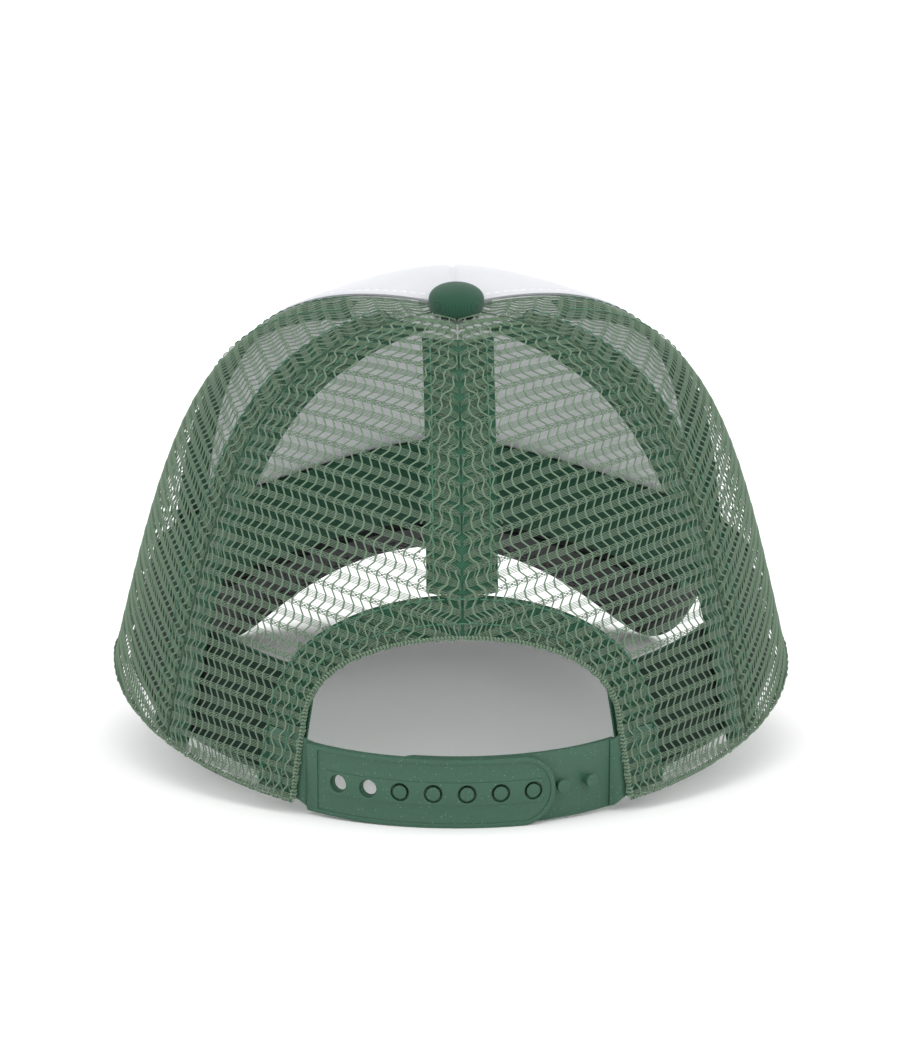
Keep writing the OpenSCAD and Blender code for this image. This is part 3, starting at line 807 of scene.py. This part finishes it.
binding()
BAND_FOOT, BAND_WIDTH = 3.5, 28.0
BAND_ROWS = (0.1, 0.9)                       # where its stitch rows run, as shares of its width
FACE_DEPTH, LINING_DEPTH, BAND_STITCH_DEPTH = -5.3, -4.05, -6.32
band_limit = opening_edge - float(degrees_at(160.0, 0.0, 1.5))


def band(name, d, thick, material, bulge, node, hem_margin=0.0):
    """One layer of the sweatband, d mm from the crown's surface, narrower by hem_margin at both edges."""
    def spot(u, v):
        p = -band_limit + 2 * band_limit * u
        low = hem(p)[..., 2] + BAND_FOOT
        return p, t_at_height(p, low + hem_margin + (BAND_WIDTH - 2 * hem_margin) * v)

    def place(u, v):
        p, t = spot(u, v)
        ripple = 0.18 * np.sin(u * 95) * np.sin(v * math.pi) + 0.1 * np.sin(u * 210 + 1)
        groove = 0.35 * sum(np.exp(-((v - row) / 0.025) ** 2) for row in BAND_ROWS) if bulge else 0
        return layer(p, t, d - bulge * np.sin(np.pi * v) ** 0.5 + groove + ripple * (bulge > 0))

    def outside(u, v):
        p, t = spot(u, v)
        return turned(crown_normal(p, t))
    obj = grid_piece(name, 300, 24, place, outside, thick, (478, 28), material)
    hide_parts(node)
    soft.append((obj, (0.478, 0.028), None))
    return obj


face = band("sweatband_twill_face", FACE_DEPTH, 0.8, band_twill, 0.5, "sweatband_face")
band("sweatband_backing", LINING_DEPTH, 0.6, lining_cloth, 0.0, "sweatband_lining", 0.3)
for k, v in enumerate(BAND_ROWS):
    p = np.linspace(-band_limit + 0.5, band_limit - 0.5, 700)
    t = t_at_height(p, hem(p)[..., 2] + BAND_FOOT + BAND_WIDTH * v)
    points, normals = crown_line(p, t, BAND_STITCH_DEPTH)
    piece = stitches(f"band_stitches_{k + 1}", points, -normals, green_thread, 3.0, 0.84, 0.2, 0.3)
    extra.append((piece, face))

# ---------------------------------------------------------------- front

TOPSTITCH_INSET = 3.2


def front_spot(u, v, margin, foot, stop):
    """Azimuth and height share of a spot of the front: margin mm inside its seams, foot mm above the hem."""
    probe = (2 * u - 1) * (front_seam(0.9) - degrees_at(60, 0.9, margin))
    top = t_at_reach(probe, stop)
    at_hem = (2 * u - 1) * FRONT_SEAM
    base = t_at_height(at_hem, hem(at_hem)[..., 2] + foot) if foot else 0 * u
    t = base + (top - base) * v
    return (2 * u - 1) * (front_seam(t) - degrees_at(60, t, margin)), t


def front_relief(p, t, inner):
    """The dart over the middle, the pressed seam edges and a slight softness of the foam."""
    dart = -0.9 * np.exp(-(width_at(p, t, np.abs(p)) / 1.1) ** 2) * np.clip((t - 0.42) / 0.15, 0, 1)
    edge = width_at(p, t, front_seam(t) - np.abs(p))
    hemming = 0.25 * np.exp(-((edge - 1.4) / 1.4) ** 2) - 0.3 * np.exp(-(edge / 0.6) ** 2)
    stitched = -0.3 * np.exp(-((edge - TOPSTITCH_INSET) / 0.7) ** 2)
    soft_wave = 0.25 * np.sin(p / 9.0 + 1.3) * np.sin(t * 9.0)
    return soft_wave * 0.7 + dart * 0.8 if inner else dart + hemming + stitched + soft_wave * 0.5


def front_piece(name, cols, rows, limits, depth_at, thick, size, material):
    """A layer of the front within limits, which are front_spot's; depth_at(p, t) places it."""
    def place(u, v):
        p, t = front_spot(u, v, *limits)
        return layer(p, t, depth_at(p, t))

    def outside(u, v):
        return turned(crown_normal(*front_spot(u, v, *limits)))
    return grid_piece(name, cols, rows, place, outside, thick, size, material)


front = front_piece("front_cloth", 150, 110, (0.2, 0, CLOTH_STOP), lambda p, t: front_relief(p, t, False),
                    0.75, (160, 165), white_cloth)
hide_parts("front_panel")
soft.append((front, (0.165, 0.170), 0.0187))
foam = front_piece("foam_backing", 90, 70, (1.2, 2.5, 12.0),
                   lambda p, t: -1.25 + front_relief(p, t, True) * 0.6, 2.3, (158, 155), foam_finish)
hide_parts("front_foam")
for side_name, left in SIDES:
    t = np.linspace(0.01, 0.965, 260)
    points, normals = crown_line(front_seam(t) - degrees_at(60, t, TOPSTITCH_INSET), t, -0.12, left)
    piece = stitches(f"{side_name}_front_topstitch", points, normals, white_thread, 2.8, 0.82, 0.19, 0.25)
    extra.append((piece, front))

# ---------------------------------------------------------------- visor

VISOR_HALF, VISOR_SIDE_Y, VISOR_TIP = 78.0, 47.0, FRONT + 65.0
DROP, SAG = 27.0, 31.0                       # how low the edge lies in the middle, and how far it curves down
VISOR_TUCK = 2.5                             # how far its root lies inside the hem
VISOR_END = 86.0                             # degrees each side of the middle; 90 would be a point
VISOR_ROWS, VISOR_ROW_PITCH = 6, 6.2


def visor_edge(a):
    """The visor's outer edge, a from -90 at the left to 90 at the right."""
    s, c = np.sin(np.radians(a)), np.cos(np.radians(a))
    return np.stack([VISOR_HALF * s, VISOR_SIDE_Y + (VISOR_TIP - VISOR_SIDE_Y) * np.maximum(c, 0) ** 0.62,
                     -DROP - SAG * s ** 2 + (DROP + SAG) * np.abs(s) ** 15], -1)


def visor_root(a):
    """The visor's inner edge, under the hem."""
    q = hem(a * FRONT_SEAM / 90)
    inward = 1 - VISOR_TUCK / np.hypot(q[..., 0], q[..., 1])
    return np.stack([q[..., 0] * inward, q[..., 1] * inward, q[..., 2] - 0.5], -1)


def visor_point(a, w):
    """A point of the visor's upper surface, w from 0 at the crown to 1 at the edge."""
    root, edge = visor_root(a), visor_edge(a)
    return root + (edge - root) * np.asarray(w, float)[..., None]


def visor_normal(a, w):
    """The way that the visor's upper surface looks."""
    across = visor_point(a + 0.5, w) - visor_point(a - 0.5, w)
    n = np.cross(across, visor_edge(a) - visor_root(a))
    return n / np.linalg.norm(n, axis=-1, keepdims=True)


def visor_layer(name, d, thick, w_end, material, puff, node):
    """A cloth of the visor, d mm from its upper surface, pressed in by puff along the stitch rows."""
    def spot(u, v):
        return -VISOR_END + 2 * VISOR_END * u, np.maximum(v * w_end, 0)

    def place(u, v):
        a, w = spot(u, v)
        from_edge = (1 - w) * np.linalg.norm(visor_edge(a) - visor_root(a), axis=-1)
        pressed = 0.16 * sum(np.exp(-((from_edge - VISOR_ROW_PITCH * k) / 0.7) ** 2)
                             for k in range(1, VISOR_ROWS + 1))
        return at_rest(visor_point(a, w) + (d - pressed * puff)[..., None] * visor_normal(a, w))

    def outside(u, v):
        return turned(visor_normal(*spot(u, v)))
    obj = grid_piece(name, 160, 120, place, outside, thick, (190, 90), material)
    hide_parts(node)
    soft.append((obj, (0.20, 0.110), 0.0128))
    return obj


visor_top = visor_layer("visor_top_cloth", 0.0, 0.8, 1.0, visor_green, 1.0, "visor_top_cover")
# the under cloth's near-black finish is painted shade
visor_under = visor_layer("visor_under_cloth", -3.45, 0.75, 0.985, visor_under_painted_shade, -1.0, "visor_under_cover")


def visor_rim():
    """The top cloth turned down over the board's edge."""
    def frame_at(u):
        a = -VISOR_END + 2 * VISOR_END * u
        n = visor_normal(a, np.ones(a.shape))
        away = np.cross(n, visor_edge(a + 0.5) - visor_edge(a - 0.5))
        return a, n, away / np.linalg.norm(away, axis=-1, keepdims=True)

    def place(u, v):
        a, n, away = frame_at(u)
        turn = math.pi * v
        out = np.sin(turn) ** 0.6 - 0.6 * (v > 0.99)
        down = -0.2 - 4.0 * (1 - np.cos(turn)) / 2
        return at_rest(visor_edge(a) + out[..., None] * away + down[..., None] * n)

    def outside(u, v):
        return turned(frame_at(u)[2])
    return grid_piece("visor_rim_cloth", 160, 12, place, outside, 0.5, (250, 6), visor_green)


def visor_side_fold(name, side):
    """The top cloth folded down over the visor's side edge, from the crown to the rim."""
    def frame_at(w):
        a = np.full(w.shape, VISOR_END * side)
        away = visor_point(a + 0.5 * side, w) - visor_point(a - 0.5 * side, w)
        return a, visor_normal(a, w), away / np.linalg.norm(away, axis=-1, keepdims=True)

    def place(w, v):
        a, n, away = frame_at(w)
        turn = math.pi * v
        out = 0.9 * np.sin(turn) ** 0.6 - 0.5 * (v > 0.99)
        down = -0.15 - 4.1 * (1 - np.cos(turn)) / 2
        return at_rest(visor_point(a, w) + out[..., None] * away + down[..., None] * n)

    def outside(w, v):
        return turned(frame_at(w)[2])
    return grid_piece(name, 40, 12, place, outside, 0.5, (60, 6), visor_green)


extra.append((visor_rim(), visor_top))
for side_name, side in (("left", -1), ("right", 1)):
    extra.append((visor_side_fold(f"visor_top_{side_name}_fold", side), visor_top))
for k in range(1, VISOR_ROWS + 1):
    a = np.linspace(-VISOR_END + 1.5, VISOR_END - 1.5, 420)
    length = np.linalg.norm(visor_edge(a) - visor_root(a), axis=-1)
    inset = VISOR_ROW_PITCH * k
    good = length > inset + 3
    a, w = a[good], 1 - inset / length[good]
    n = visor_normal(a, w)
    # the under stitches' near-black thread is painted shade
    for name, cloth, depth, up, thread in (("visor_top_stitches", visor_top, -0.05, 1, green_thread),
                                           ("visor_under_stitches", visor_under, -4.3, -1, under_stitch_painted_shade)):
        points = at_rest(visor_point(a, w) + depth * n)
        extra.append((stitches(f"{name}_{k}", points, up * turned(n), thread, 3.0, 0.84, 0.2, 0.3), cloth))

# ---------------------------------------------------------------- button

BUTTON_RADIUS, BUTTON_DOME, BUTTON_SKIRT, BUTTON_LIFT = 7.15, 4.35, 6.5, 1.35


def covered_button():
    """The button's cloth: the upper part of a ball, pressed flatter above and drawn down as a skirt."""
    deselect()
    bpy.ops.mesh.primitive_uv_sphere_add(segments=72, ring_count=40, radius=1)
    obj = bpy.context.object
    bpy.ops.object.mode_set(mode="EDIT")
    bpy.ops.mesh.select_all(action="SELECT")
    bpy.ops.mesh.bisect(plane_co=(0, 0, -0.42), plane_no=(0, 0, 1), clear_inner=True, clear_outer=False)
    bpy.ops.object.mode_set(mode="OBJECT")
    co = np.array([v.co[:] for v in obj.data.vertices])
    dome = np.maximum(co[:, 2], 0) ** 0.85 * BUTTON_DOME
    z = BUTTON_LIFT + np.where(co[:, 2] > 0, dome, co[:, 2] * BUTTON_SKIRT)
    local = np.stack([co[:, 0] * BUTTON_RADIUS, co[:, 1] * BUTTON_RADIUS, z], -1)
    obj.data.vertices.foreach_set("co", at_rest(local + np.array([0, -BACK, HEIGHT])).ravel())
    obj.data.update()
    uv = obj.data.uv_layers[0]
    for polygon in obj.data.polygons:
        for i in polygon.loop_indices:
            uv.data[i].uv = co[obj.data.loops[i].vertex_index][:2] * 7.2
    apply_modifier(obj, "SOLIDIFY", thickness=0.55 * MM, offset=-1)
    return finish_mesh(obj, "button_fabric", button_knit, 50)


button = covered_button()
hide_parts("button_cover")

# ---------------------------------------------------------------- straps

def softened(node, name):
    """A copy of a moulded strap with its sharp edges eased."""
    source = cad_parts[node]
    obj = bpy.data.objects.new(name, source.data.copy())
    bpy.context.scene.collection.objects.link(obj)
    only(obj)
    bpy.ops.object.mode_set(mode="EDIT")
    bpy.ops.mesh.select_all(action="SELECT")
    bpy.ops.mesh.remove_doubles(threshold=0.000002)
    bpy.ops.mesh.select_all(action="SELECT")
    bpy.ops.mesh.dissolve_limited(angle_limit=math.radians(0.5), delimit={"NORMAL"})
    bpy.ops.object.mode_set(mode="OBJECT")
    apply_modifier(obj, "BEVEL", width=0.16 * MM, segments=2, limit_method="ANGLE",
                   angle_limit=math.radians(35), harden_normals=False)
    finish_mesh(obj, name, strap_plastic, 35)
    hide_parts(node)
    return obj


snap = softened("snap_strap", "strap_with_holes")
peg = softened("peg_strap", "strap_with_pegs")


def strap_end(name, left, node):
    """The sewn-in end of a strap, from behind its root to between the binding and the band."""
    root_x, end_x = 36.9, 48.0
    root_low, root_rise = np.array([0.0, -111.2, 1.2]), np.array([0.0, -1.3, 17.4])
    sewn_low, sewn_rise, sewn_depth = 1.0, 16.4, -2.95
    free_share = 0.42

    def place(u, v):
        x = root_x + (end_x - root_x) * u
        p = search(lambda a: x - np.abs(hem(a)[..., 0]), np.full(x.shape, 100.0), 180.0)
        t = t_at_height(p, sewn_low + sewn_rise * v)
        sewn = layer(p, t, np.full(p.shape, sewn_depth))
        sewn[:, 0] = x * MM
        free = (root_low + root_rise * v[:, None]) * MM
        free[:, 0] = x * MM
        ease = np.clip(u / free_share, 0, 1)[:, None]
        ease = ease * ease * (3 - 2 * ease)
        points = free * (1 - ease) + sewn * ease
        return mirrored(points) if left else points

    def outside(u, v):
        return np.tile(np.array([0.0, -1.0, 0.0]), (len(u), 1))
    obj = grid_piece(name, 24, 12, place, outside, 0.85, (11, 17), strap_plastic)
    apply_modifier(obj, "BEVEL", width=0.15 * MM, segments=2, limit_method="ANGLE",
                   angle_limit=math.radians(40))
    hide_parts(node)
    return obj


strap_ends = [strap_end("hole_strap_sewn_end", True, "snap_strap_tab"),
              strap_end("peg_strap_sewn_end", False, "peg_strap_tab")]
for node, finish_used in (("visor_board", board_plastic), ("button_shell", plated_metal),
                          ("button_post", plated_metal), ("button_washer", plated_metal)):
    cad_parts[node].data.materials.clear()
    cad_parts[node].data.materials.append(finish_used)

# ---------------------------------------------------------------- riding

SLOT_OF = {
    "front_cloth": "front_panel", "foam_backing": "front_foam", "sweatband_twill_face": "sweatband_twill",
    "sweatband_backing": "lining", "visor_top_cloth": "visor_top_cover", "visor_rim_cloth": "visor_top_cover",
    "visor_under_cloth": "visor_under_cover", "button_fabric": "button_cover", "opening_band": "seam_tape",
    "strap_with_holes": "strap_plastic", "strap_with_pegs": "strap_plastic",
    "hole_strap_sewn_end": "strap_plastic", "peg_strap_sewn_end": "strap_plastic",
}


def settle(obj, body="crown"):
    """Lets a piece ride on its body and looks up its slot, which it does not keep."""
    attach(obj, body)
    name = obj.name
    slot = SLOT_OF.get(name)
    if slot is None:
        if "seam_tape" in name or "opening_stitches" in name:
            slot = "seam_tape"
        elif "topstitch" in name:
            slot = "front_panel"
        elif name.startswith("band_"):
            slot = "sweatband_twill"
        elif name.startswith("visor_top"):
            slot = "visor_top_cover"
        elif name.startswith("visor_under"):
            slot = "visor_under_cover"
        else:
            slot = "mesh"


settle(snap, "snap_strap")
settle(peg, "peg_strap")
settle(button)
for piece in strap_ends:
    settle(piece)
settle(foam)
for key, (piece, area, flat) in mesh_pieces.items():
    node = f"{key[0]}_{key[1]}_mesh"
    settle(piece)
    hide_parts(node)
    with_it = [obj for where, obj in folds.items() if where[0] == key[0]
               and (where[1].startswith(key[1]) or (where[1] == "arch" and key[1] == "back"))]
    for obj in with_it:
        settle(obj)
for obj, flat, area in soft:
    settle(obj)
    with_it = [piece for piece, owner in extra if owner == obj]
    for piece in with_it:
        settle(piece)

# ---------------------------------------------------------------- floor and light

deselect()
bpy.ops.mesh.primitive_plane_add(size=40, location=(0, 0, 0))
floor = bpy.context.object
floor.name = "floor"
floor_finish, _, floor_shader = new_finish("pale_floor", 0.9, 0.0, 0.1)
floor_shader.inputs["Base Color"].default_value = (0.96, 0.96, 0.96, 1)
floor.data.materials.append(floor_finish)


def soft_light(name, place, aim, size, power):
    data = bpy.data.lights.new(name, "AREA")
    data.shape = "DISK"
    data.size = size
    data.energy = power
    obj = bpy.data.objects.new(name, data)
    bpy.context.scene.collection.objects.link(obj)
    obj.location = place
    obj.rotation_euler = (Vector(aim) - Vector(place)).to_track_quat("-Z", "Y").to_euler()


world = bpy.data.worlds.new("studio")
bpy.context.scene.world = world
world.use_nodes = True
world.node_tree.nodes["Background"].inputs[0].default_value = (1, 1, 1, 1)
world.node_tree.nodes["Background"].inputs[1].default_value = 1.05
soft_light("overhead", (0, 0.2, 2.2), (0, 0, 0), 2.4, 8)
soft_light("behind_left", (-1.4, -1.6, 1.3), (0, 0, 0.05), 1.2, 10)
soft_light("behind_right", (1.5, -1.4, 1.2), (0, 0, 0.05), 1.2, 10)
soft_light("front_low", (0, 1.9, 0.22), (0, 0, 0), 0.8, 16)
bpy.context.scene.view_settings.view_transform = "Standard"
